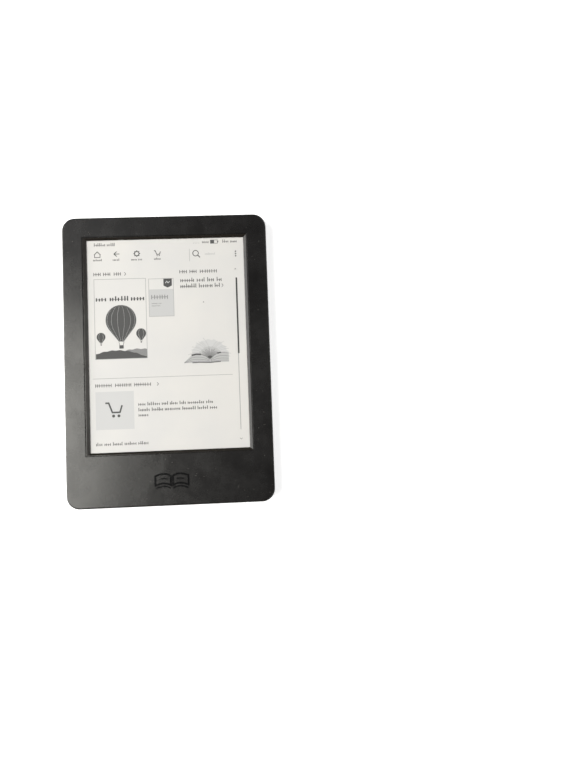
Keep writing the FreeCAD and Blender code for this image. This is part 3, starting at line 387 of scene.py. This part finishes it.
def on_page(u, v):
    """Page millimetres, right and down from the page's top left corner, as metres in the row frame."""
    return ((PAGE_LEFT + u) * MM, (PAGE_TOP - v) * MM)


def bar(left, top, right, low):
    return [(left, top), (right, top), (right, low), (left, low)]


def disc(u, v, radius, sides=20):
    turns = [2 * math.pi * i / sides for i in range(sides)]
    return [(u + radius * math.cos(t), v + radius * math.sin(t)) for t in turns]


def stroke(points, width, closed=False):
    """A line of that width through points, as one mitred four-sided outline for each run."""
    count = len(points)
    rails = []
    for i, (u, v) in enumerate(points):
        before = points[i - 1] if closed or i else None
        after = points[(i + 1) % count] if closed or i + 1 < count else None
        runs = []
        for start, end in ((before, (u, v)), ((u, v), after)):
            if start and end:
                run = Vector((end[0] - start[0], end[1] - start[1])).normalized()
                runs.append(Vector((-run.y, run.x)))
        across = sum(runs, Vector((0.0, 0.0)))
        across *= width / across.length_squared * (1.0 if len(runs) == 2 else 0.5)
        rails.append(((u + across.x, v + across.y), (u - across.x, v - across.y)))
    pairs = list(zip(rails, rails[1:] + rails[:1]))
    if not closed:
        pairs.pop()
    return [[a[0], b[0], b[1], a[1]] for a, b in pairs]


def ring(u, v, radius, width, sides=28):
    return stroke(disc(u, v, radius, sides), width, closed=True)


def moved(shapes, u, v, scale=1.0):
    return [[(u + scale * a, v + scale * b) for a, b in outline] for outline in shapes]


# Greeked text, in shares of its height: where the rail runs, the gaps, and how tall the ticks stand.
RAIL = (0.42, 0.58)
TICK_GAPS = (0.3, 0.62)
WORD_GAP = 0.45
TICK_RISES = (0.9, 1.0, 1.0, 1.0, 1.45)
TICKS_IN_A_WORD = (4, 9)
FEWEST_TICKS = 3


def greek(left, right, baseline, tall, seed, weight=0.28, capitals=False):
    """A line of greeked text: word-long rows of upright ticks joined by a rail, which form no letters.

    Weight is a tick's width as a share of its height. A row of fewer ticks than FEWEST_TICKS could
    pass for a letter, so it is left out.
    """
    dice = random.Random(seed)
    shapes = []
    thick = weight * tall
    u = left
    while u < right - tall:
        ticks, rails = [], []
        end = None
        for _ in range(dice.randint(*TICKS_IN_A_WORD)):
            if u + thick > right:
                break
            if end is not None:
                rails.append(bar(end, baseline - RAIL[1] * tall, u, baseline - RAIL[0] * tall))
            rise = 1.0 if capitals else dice.choice(TICK_RISES)
            end = u + thick
            ticks.append(bar(u, baseline - tall * rise, end, baseline))
            u = end + tall * dice.uniform(*TICK_GAPS)
        if len(ticks) >= FEWEST_TICKS:
            shapes += ticks + rails
        u += WORD_GAP * tall
    return shapes


def chevron(u, v, tall=0.95):
    return stroke([(u, v - tall), (u + 0.85 * tall, v), (u, v + tall)], 0.3)


def cart_icon(width):
    """A shopping cart about 3.8 wide: handle and basket line, and two wheels."""
    basket = [(-1.9, -1.45), (-1.15, -1.45), (-0.35, 0.7), (1.35, 0.7), (1.85, -0.9)]
    return stroke(basket, width) + [disc(-0.1, 1.5, 0.34), disc(1.1, 1.5, 0.34)]


def toolbar_shapes():
    """Five icons, each drawn about its own middle and then moved into place, and three dots."""
    home = stroke([(-1.9, 0.1), (0.0, -1.75), (1.9, 0.1)], 0.46)
    home += stroke([(-1.6, 0.0), (-1.6, 1.6), (1.6, 1.6), (1.6, 0.0)], 0.4)
    back = stroke([(-1.6, 0.0), (1.7, 0.0)], 0.46) + stroke([(0.1, -1.5), (-1.5, 0.0), (0.1, 1.5)], 0.46)
    gear = ring(0.0, 0.0, 1.3, 0.55)
    teeth = 8
    for i in range(teeth):
        turn = 2 * math.pi * i / teeth
        out = Vector((math.cos(turn), math.sin(turn)))
        gear += stroke([tuple(out * 1.4), tuple(out * 1.95)], 0.55)
    find = ring(-0.35, -0.35, 1.65, 0.46) + stroke([(0.85, 0.85), (2.2, 2.2)], 0.6)
    shapes = moved(home, 6.1, 8.35) + moved(back, 17.3, 8.15) + moved(gear, 29.1, 8.2)
    shapes += moved(cart_icon(0.46), 41.05, 8.2) + moved(find, 63.85, 9.2)
    shapes += [disc(87.05, v, 0.45) for v in (8.3, 9.65, 11.0)]
    return shapes


def status_shapes():
    """The top row: a name, the charge, a battery sign about half full, and the time."""
    shapes = greek(4.3, 16.8, 3.4, 1.35, 11) + greek(67.5, 71.7, 3.0, 1.2, 12, 0.26)
    shapes += frame_line(72.4, 1.2, 76.5, 3.2, 0.26)
    shapes += [bar(72.5, 1.3, 74.6, 3.1), bar(76.6, 1.75, 77.05, 2.65)]
    shapes += greek(79.5, 88.5, 3.0, 1.3, 14, 0.24)
    return shapes


def label_shapes():
    """The small words under the first four icons."""
    spans = [(3.7, 8.8, 12.2), (15.1, 19.3, 12.2), (25.8, 32.5, 12.3), (39.1, 43.4, 12.2)]
    shapes = []
    for seed, (left, right, baseline) in enumerate(spans, 20):
        shapes += greek(left, right, baseline, 0.95, seed, 0.34)
    return shapes


def heading_shapes():
    shapes = greek(3.7, 20.6, 21.0, 1.95, 31, 0.19, True) + chevron(21.6, 20.1)
    shapes += greek(53.7, 78.3, 20.7, 1.95, 32, 0.19, True)
    shapes += greek(3.4, 38.0, 86.35, 1.95, 33, 0.19, True) + chevron(39.0, 85.4)
    return shapes


def body_shapes():
    shapes = greek(54.1, 79.4, 25.9, 1.75, 41, 0.25) + greek(54.0, 77.2, 29.4, 1.75, 42, 0.25)
    shapes += chevron(78.3, 28.4)
    shapes += greek(27.9, 74.6, 97.7, 1.4, 43, 0.3) + greek(27.9, 73.3, 101.0, 1.4, 44, 0.3)
    shapes += greek(27.9, 34.2, 104.0, 1.4, 45, 0.3) + greek(3.2, 35.8, 120.2, 1.4, 46, 0.28)
    return shapes


def frame_line(left, top, right, low, width):
    return stroke([(left, top), (right, top), (right, low), (left, low)], width, closed=True)


def rule_shapes():
    """Thin rules: cover frames, the divider, the toolbar's upright, and the scroll track."""
    shapes = frame_line(3.85, 23.0, 33.8, 70.0, 0.28) + frame_line(35.55, 23.5, 49.95, 45.75, 0.26)
    shapes += stroke([(2.0, 81.3), (83.1, 81.3)], 0.26)
    shapes += stroke([(59.9, 6.1), (59.9, 13.5)], 0.2)
    shapes += stroke([(86.8, 69.0), (86.8, 113.6)], 0.42)
    shapes += [bar(62.0 + 1.4 * i, 2.7, 63.0 + 1.4 * i, 2.9) for i in range(3)]
    return shapes


def scroll_carets():
    """A filled caret above the scroll bar and an open one below it."""
    up = moved([[(-0.7, 0.35), (0.0, -0.4), (0.7, 0.35)]], 86.6, 18.75)
    return up + stroke([(86.1, 118.6), (86.85, 119.3), (87.6, 118.6)], 0.3)


def small_cover_lines():
    return greek(37.1, 42.9, 38.45, 0.6, 62) + greek(37.1, 42.3, 39.85, 0.6, 63)


# The badge on the small cover: a ribbon end with a wave on it.
BADGE = [(44.2, 23.5), (49.1, 23.5), (49.1, 27.7), (46.65, 28.9), (44.2, 27.7)]
BADGE_WAVE = [(45.3, 26.2), (46.1, 25.1), (46.9, 26.1), (47.9, 25.2)]

# The large cover's balloons: middle, radius, and number of panels.
BALLOONS = [(19.0, 47.3, 8.9, 7), (7.3, 57.0, 2.6, 3), (30.5, 55.4, 2.9, 3)]
PANEL_GAP = 0.08
ENVELOPE_ROWS = 18
HILL_SLICES = 30


def balloon(u, v, radius, panels):
    """A hot-air balloon: a round envelope of upright panels that narrows to its mouth, ropes and a basket."""
    mouth, drop = 0.17 * radius, 1.42 * radius
    turn = math.asin(radius / math.hypot(mouth, drop)) - math.atan2(mouth, drop)
    rows_down = range(1, ENVELOPE_ROWS + 1)
    turns = [-math.pi / 2 + (math.pi / 2 + turn) * i / ENVELOPE_ROWS for i in rows_down]
    rows = [(radius * math.cos(t), v + radius * math.sin(t)) for t in turns] + [(mouth, v + drop)]
    shapes = []
    for (wide, level), (next_wide, next_level) in zip(rows, rows[1:]):
        for panel in range(panels):
            west, east = (-math.cos(math.pi * side / panels) for side in (panel, panel + 1))
            near = (u + wide * west + PANEL_GAP / 2, u + wide * east - PANEL_GAP / 2)
            far = (u + next_wide * west + PANEL_GAP / 2, u + next_wide * east - PANEL_GAP / 2)
            if near[0] < near[1] and far[0] < far[1]:
                top, low = [(side, level) for side in near], [(side, next_level) for side in far]
                shapes.append(top + low[::-1])
    basket = 0.14 * radius
    hang = v + drop + 1.7 * basket
    rope = 0.14 + 0.01 * radius
    for side in (-1, 1):
        shapes += stroke([(u + side * mouth, v + drop), (u + side * 0.8 * basket, hang)], rope)
    shapes.append(bar(u - basket, hang, u + basket, hang + 1.6 * basket))
    return shapes


def hill(left, right, low, crest, peak, ripple):
    """Upright slices under a gentle skyline with its top at peak across."""
    shapes = []
    for i in range(HILL_SLICES):
        spans = []
        for k in (i, i + 1):
            u = left + (right - left) * k / HILL_SLICES
            fall = ((u - peak) / (right - left)) ** 2
            spans.append((u, crest + (low - crest) * min(0.85, 2.6 * fall) + ripple * math.sin(1.3 * u)))
        (a, top_a), (b, top_b) = spans
        shapes.append([(a, top_a), (b, top_b), (b, low), (a, low)])
    return shapes


# The open book: where its leaves meet, its foot and sole, and the top curves of its two halves.
SPINE = (70.1, 71.7)
BOOK_FOOT = 73.8
BOOK_SOLE = [(59.8, 73.75), (63.8, 73.6), (70.1, 73.9), (76.3, 73.5)]
LEFT_LEAVES = [
    (55.0, 73.5), (57.2, 71.4), (59.4, 69.4), (62.1, 68.8), (65.0, 69.0), (67.6, 70.1), (70.0, 71.9),
]
RIGHT_LEAVES = [(70.2, 71.9), (72.2, 70.1), (74.4, 68.6), (76.6, 68.1), (78.8, 68.3), (81.1, 68.7)]
FAN_WEDGES = 24
STANDING_LEAVES = 19
RUNS_IN_A_LEAF = 5


def book_blocks():
    """The two halves of an open book, as upright slices from their top curve to the foot."""
    shapes = []
    for crests in (LEFT_LEAVES, RIGHT_LEAVES):
        for (u, v), (far_u, far_v) in zip(crests, crests[1:]):
            shapes.append([(u, v), (far_u, far_v), (far_u, BOOK_FOOT), (u, BOOK_FOOT)])
    return shapes


def book_edges():
    """Page edges that follow the top curves down to the foot."""
    shapes = []
    for crests in (LEFT_LEAVES, RIGHT_LEAVES):
        for share in (0.34, 0.6, 0.82):
            shapes += stroke([(u, v + share * (BOOK_FOOT - v)) for u, v in crests], 0.24)
    return shapes


def book_crest():
    """The lit top edges of the uppermost leaves."""
    return stroke(LEFT_LEAVES[4:], 0.4) + stroke(RIGHT_LEAVES[:3], 0.4) + stroke(RIGHT_LEAVES[3:], 0.3)


def fan_shade(reach, start, stop):
    """A soft-edged fan about the spine, in narrow wedges of uneven length."""
    u, v = SPINE
    shapes = []
    for i in range(FAN_WEDGES):
        tips = []
        for k in (i, i + 1):
            turn = math.radians(start + (stop - start) * k / FAN_WEDGES)
            far = reach * (0.96 + 0.04 * math.sin(2.1 * k))
            tips.append((u + far * math.cos(turn), v - far * math.sin(turn)))
        shapes.append([(u, v)] + tips)
    return shapes


def fan_leaves(start, stop, width):
    """Single leaves that rise from the spine and droop outward, between two shares of their length."""
    u, v = SPINE
    shapes = []
    for i in range(STANDING_LEAVES):
        turn = math.radians(22 + 136 * i / (STANDING_LEAVES - 1))
        far = 11.9 + 1.1 * math.sin(2.3 * i)
        points = []
        for k in range(RUNS_IN_A_LEAF + 1):
            share = start + (stop - start) * k / RUNS_IN_A_LEAF
            lean = turn + 0.3 * math.copysign(share ** 2, turn - math.pi / 2)
            points.append((u + far * share * math.cos(lean), v - far * share * math.sin(lean)))
        shapes += stroke(points, width)
    return shapes


def draw_page():
    """What the page shows: one piece for each kind of thing, its outlines, its level and its ink."""
    deep, black = ink("ink_deep", 56), ink("ink_black", 76)
    text, mid = ink("ink_text", 82), ink("ink_mid", 130)
    pale, grey = ink("ink_pale", 193, 0.02), ink("ink_grey", 187, 0.03)
    soft, dim, rule = ink("ink_soft", 176, 0.05), ink("ink_dim", 158, 0.05), ink("ink_rule", 155)
    layers = [
        ("screen_tile", [bar(3.4, 88.95, 25.4, 110.95)], 1, pale),
        ("screen_small_cover", [bar(35.7, 29.75, 49.85, 45.65)], 1, grey),
        ("screen_small_cover_marks", greek(36.9, 48.6, 35.6, 2.5, 61, 0.2), 2, mid),
        ("screen_small_cover_lines", small_cover_lines(), 2, mid),
        ("screen_badge", [BADGE], 2, black),
        ("screen_badge_mark", stroke(BADGE_WAVE, 0.4), 3, grey),
        ("screen_status_row", status_shapes(), 2, text),
        ("screen_toolbar_icons", toolbar_shapes(), 2, text),
        ("screen_toolbar_labels", label_shapes(), 2, text),
        ("screen_search_words", greek(69.0, 75.6, 10.0, 0.95, 27), 2, soft),
        ("screen_headings", heading_shapes(), 2, text),
        ("screen_text_lines", body_shapes(), 2, text),
        ("screen_rules", rule_shapes(), 2, rule),
        ("screen_scroll_thumb", stroke([(87.0, 24.0), (87.0, 69.0)], 0.95), 3, deep),
        ("screen_scroll_carets", scroll_carets(), 2, mid),
        ("screen_cover_title", greek(4.7, 33.2, 36.0, 1.95, 57, 0.4), 2, black),
        ("screen_cover_far_hills", hill(4.15, 33.65, 69.7, 64.4, 29.0, 0.25), 1, mid),
        ("screen_cover_near_hill", hill(4.15, 33.65, 69.85, 65.0, 16.0, 0.18), 2, black),
        ("screen_cover_balloons", [shape for place in BALLOONS for shape in balloon(*place)], 2, black),
        ("screen_tile_cart", moved(cart_icon(0.37), 13.8, 99.3, 2.55), 2, text),
        ("screen_book_haze", fan_shade(11.8, 14, 166), 1, pale),
        ("screen_book_shade", fan_shade(7.6, 16, 164), 2, soft),
        ("screen_book_hollow", fan_shade(4.4, 12, 168), 3, dim),
        ("screen_book_leaf_tips", fan_leaves(0.5, 1.0, 0.26), 3, soft),
        ("screen_book_leaves", fan_leaves(0.05, 0.5, 0.32), 4, mid),
        ("screen_book_gutter", fan_shade(1.9, 35, 145), 6, text),
        ("screen_book_blocks", book_blocks(), 5, soft),
        ("screen_book_edges", book_edges(), 6, mid),
        ("screen_book_crest", book_crest(), 6, mid),
        ("screen_book_shadow", stroke(LEFT_LEAVES[2:5], 0.95) + stroke(RIGHT_LEAVES[2:4], 0.8), 7, text),
        ("screen_book_foot", stroke(BOOK_SOLE, 0.55), 7, text),
        ("screen_stuck_pixel", [disc(67.3, 38.05, 0.36, 10)], 2, mid),
    ]
    for name, shapes, level, material in layers:
        top = INK_Z + INK_STEP * level
        flat_mark(name, shapes, on_page, INK_Z, top, material)


def bezel_mark():
    """A small open-book sign in gloss black below the page."""
    crests = [(0.6, 0.0), (2.4, -1.0), (4.4, -1.3), (6.8, -0.9), (9.0, -0.1)]
    tall = 5.4
    shapes = []
    for side in (-1, 1):
        crest = [(side * u, v) for u, v in crests]
        foot = [(u, v + tall) for u, v in reversed(crest)]
        shapes += stroke(crest + foot, 1.0, closed=True)
        shapes += stroke([(u, v + 1.7) for u, v in foot], 0.8)
        shapes += stroke([(side * u, v + 2.7) for u, v in crests[1:4]], 0.7)
    look = Look("mark_gloss", Specular_IOR_Level=0.3)
    wear = look.noise(0.8, 4.0)
    look.colour(look.blend(wear, tint(9, 9, 10), tint(15, 15, 16)))
    look.roughness(look.remap(wear, 0.3, 0.7, 0.12, 0.2))

    def below_page(u, v):
        return ((0.5 + 1.05 * u) * MM, (-67.4 - v) * MM)

    low, high = FRONT_Z - 0.01, FRONT_Z + 0.012
    flat_mark("bezel_sign", shapes, below_page, low, high, look.material)


# ---- floor, light and camera ----

# The room, in metres. The floor lies just under the case.
FLOOR_Z = -0.0002
ROOM_RADIUS = 3.0
WALL_RADIUS = 2.9
WALL_HEIGHT = 3.0
WORLD_GLOW = 0.09

# The camera: its place in millimetres, its turn as an axis times an angle in radians, and its lens.
CAMERA_AT = (56.166, -32.808, 330.859)
CAMERA_TURN = (0.0499, -0.0398, -0.0368)
FOCAL_PIXELS = 550.0
LONG_SIDE_PIXELS = 768.0
SENSOR = 36.0


def make_camera():
    data = bpy.data.cameras.new("camera")
    data.sensor_width = SENSOR
    data.lens = FOCAL_PIXELS / LONG_SIDE_PIXELS * SENSOR
    data.clip_start = 0.01
    data.clip_end = 20.0
    camera = bpy.data.objects.new("camera", data)
    bpy.context.scene.collection.objects.link(camera)
    turn = Vector(CAMERA_TURN)
    camera.rotation_mode = "QUATERNION"
    camera.rotation_quaternion = Quaternion(turn.normalized(), turn.length)
    camera.location = Vector(CAMERA_AT) * MM
    bpy.context.scene.camera = camera


def area_light(name, at, width, length, power, colour, roll=0.0):
    """A soft rectangular light that faces the object, in metres and watts, turned about its axis by roll."""
    data = bpy.data.lights.new(name, "AREA")
    data.shape = "RECTANGLE"
    data.size = width
    data.size_y = length
    data.energy = power
    data.color = colour
    lamp = bpy.data.objects.new(name, data)
    bpy.context.scene.collection.objects.link(lamp)
    lamp.location = at
    lamp.rotation_mode = "QUATERNION"
    lamp.rotation_quaternion = (-Vector(at)).to_track_quat("-Z", "Y") @ Quaternion((0.0, 0.0, 1.0), roll)


def stage_piece(name, mesh, material):
    """A part of the room, which isn't part of the object."""
    data = bpy.data.meshes.new(name)
    mesh.to_mesh(data)
    mesh.free()
    data.materials.append(material)
    piece = bpy.data.objects.new(name, data)
    bpy.context.scene.collection.objects.link(piece)
    piece.location.z = FLOOR_Z
    return piece


def make_room():
    """A pale floor, and far off a round wall of the same stuff that only the camera sees."""
    pale = floor_look()
    ground = bmesh.new()
    bmesh.ops.create_grid(ground, x_segments=4, y_segments=4, size=ROOM_RADIUS)
    stage_piece("floor", ground, pale)
    ring = bmesh.new()
    radii = {"radius1": WALL_RADIUS, "radius2": WALL_RADIUS}
    bmesh.ops.create_cone(ring, segments=96, depth=2 * WALL_HEIGHT, cap_ends=False, **radii)
    wall = stage_piece("backdrop", ring, pale)
    wall.visible_diffuse = False
    wall.visible_glossy = False
    wall.visible_transmission = False
    wall.visible_shadow = False


def make_studio():
    """A broad warm key light at the left, a low window there, and dimmer lights above and at the right."""
    world = bpy.data.worlds.new("studio")
    world.use_nodes = True
    background = world.node_tree.nodes["Background"]
    background.inputs["Color"].default_value = (*WHITE, 1.0)
    background.inputs["Strength"].default_value = WORLD_GLOW
    bpy.context.scene.world = world
    area_light("key", (-0.70, -0.05, 1.0), 0.62, 0.75, 13.0, (1.0, 0.985, 0.92), -0.15)
    area_light("window", (-0.52, 0.03, 0.26), 0.62, 0.4, 2.8, WHITE)
    area_light("ceiling", (-0.47, 0.49, 1.1), 0.5, 0.4, 0.42, WHITE)
    area_light("right", (1.25, 0.1, 1.2), 0.6, 0.6, 2.2, (1.0, 0.98, 0.94))
    area_light("right_back", (1.0, 1.05, 1.15), 0.7, 0.7, 6.0, WHITE)
    area_light("right_front", (1.0, -1.05, 1.15), 0.7, 0.7, 6.0, WHITE)


dress_nodes()
draw_page()
bezel_mark()
make_room()
make_studio()
make_camera()
bpy.context.scene.view_settings.view_transform = "Standard"
